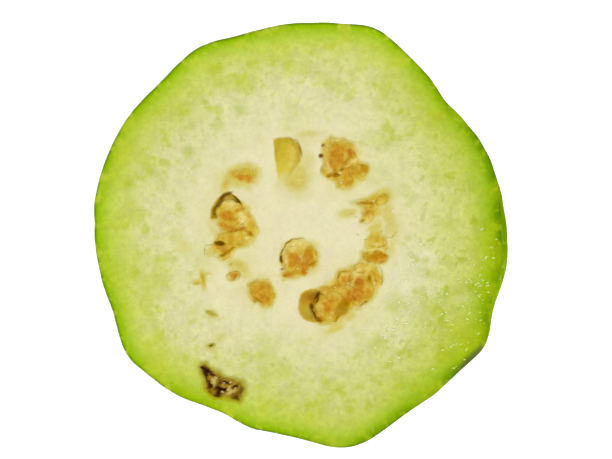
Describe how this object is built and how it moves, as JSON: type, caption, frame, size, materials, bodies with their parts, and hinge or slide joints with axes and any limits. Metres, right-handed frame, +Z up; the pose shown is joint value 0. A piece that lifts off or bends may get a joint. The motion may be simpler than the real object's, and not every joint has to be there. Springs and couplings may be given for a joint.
{
  "type": "guava half",
  "caption": "Half of a pale green guava cut across its middle, cut face up, with a ring of hard seeds in pockets around a white core and a green skin below that rests on a small flat spot",
  "frame": {"origin": "on the floor plane, under the middle of the half's box in X and Y, at the level of the small flat spot that it rests on", "axes": "+Z is up, out of the cut face; +Y is the top of the cut face when the half is looked down on, and +X is its right"},
  "size_m": [0.0664, 0.0678, 0.0349],
  "materials": {
    "flesh_and_skin": "moist cut fruit flesh, cream in the middle, green at the rim, waxy green skin outside",
    "seed": "hard woody seed, wet golden brown"
  },
  "bodies": {
    "root": {"guava_half": "flesh_and_skin", "seed_01": "seed", "seed_02": "seed", "seed_03": "seed", "seed_04": "seed", "seed_05": "seed", "seed_06": "seed", "seed_07": "seed", "seed_08": "seed", "seed_09": "seed", "seed_10": "seed", "seed_11": "seed", "seed_12": "seed", "seed_13": "seed", "seed_14": "seed", "seed_15": "seed", "seed_16": "seed", "seed_17": "seed", "seed_18": "seed", "seed_19": "seed", "seed_20": "seed", "seed_21": "seed"}
  },
  "joints": []
}
